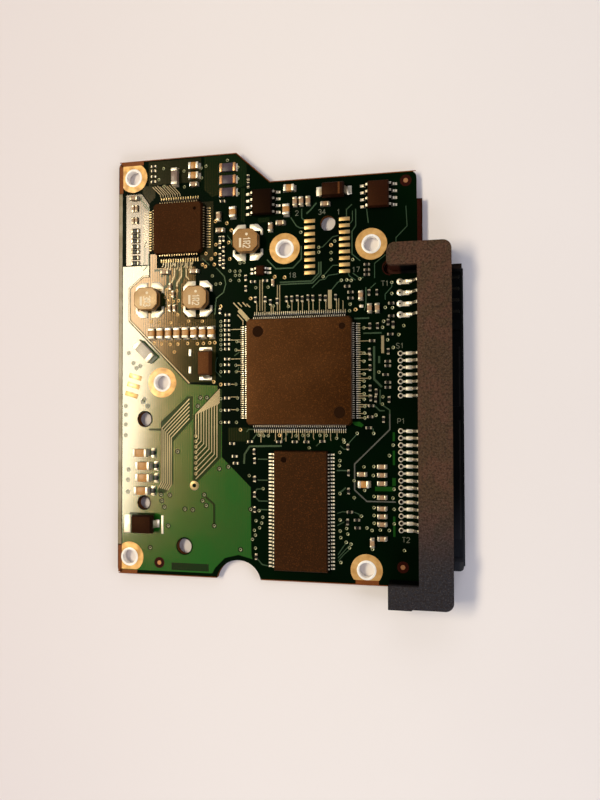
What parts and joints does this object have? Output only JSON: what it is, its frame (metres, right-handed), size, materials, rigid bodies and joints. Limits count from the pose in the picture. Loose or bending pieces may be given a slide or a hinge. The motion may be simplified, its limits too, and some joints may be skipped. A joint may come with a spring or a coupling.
{
  "type": "hard drive circuit board",
  "caption": "Populated circuit board of a hard disk drive: laminate with screw holes, moulded chips with fine leads, inductors, chip parts and a combined edge connector with jumper pins.",
  "frame": {"origin": "axis of the lower left screw hole, at the underside of the laminate", "axes": "+X out of the edge connector, +Y along the connector, +Z out of the component side"},
  "size_m": [0.0661, 0.0837, 0.006],
  "materials": {
    "laminate": "green solder mask over glass-fibre laminate",
    "gold": "thin gold plating",
    "tin": "tinned lead metal",
    "mould": "dark moulding compound",
    "ferrite": "sintered dark grey",
    "ceramic": "tan fired ceramic",
    "glaze": "black glaze",
    "housing": "glass-filled black plastic, sandy"
  },
  "bodies": {
    "root": {"bulk_capacitor_bodies": "ceramic", "bulk_capacitor_ends": "tin", "circuit_board": "laminate", "connector_housing": "housing", "controller_body": "mould", "controller_leads": "tin", "flash_body": "mould", "flash_leads": "tin", "four_lead_chip_body": "mould", "four_lead_chip_leads": "tin", "head_contact_pads": "gold", "inductor_1_core": "ferrite", "inductor_1_terminals": "tin", "inductor_2_core": "ferrite", "inductor_2_terminals": "tin", "inductor_3_core": "ferrite", "inductor_3_terminals": "tin", "jumper_pins": "tin", "lower_diode_body": "mould", "lower_diode_terminals": "tin", "medium_capacitor_bodies": "ceramic", "medium_capacitor_ends": "tin", "memory_body": "mould", "memory_leads": "tin", "middle_diode_body": "mould", "middle_diode_terminals": "tin", "motor_contact_pads": "gold", "motor_driver_body": "mould", "motor_driver_leads": "tin", "power_contacts": "tin", "regulator_body": "mould", "regulator_leads": "tin", "row_capacitor_bodies": "ceramic", "row_capacitor_ends": "tin", "screw_rings": "gold", "sense_resistor_bodies": "glaze", "sense_resistor_ends": "tin", "signal_contacts": "tin", "small_capacitors": "ceramic", "small_resistors": "glaze", "tall_capacitor_bodies": "ceramic", "tall_capacitor_ends": "tin", "tilted_capacitor_bodies": "ceramic", "tilted_capacitor_ends": "tin", "tiny_capacitors": "ceramic", "tiny_resistors": "glaze", "upper_diode_body": "mould", "upper_diode_terminals": "tin"}
  },
  "joints": []
}
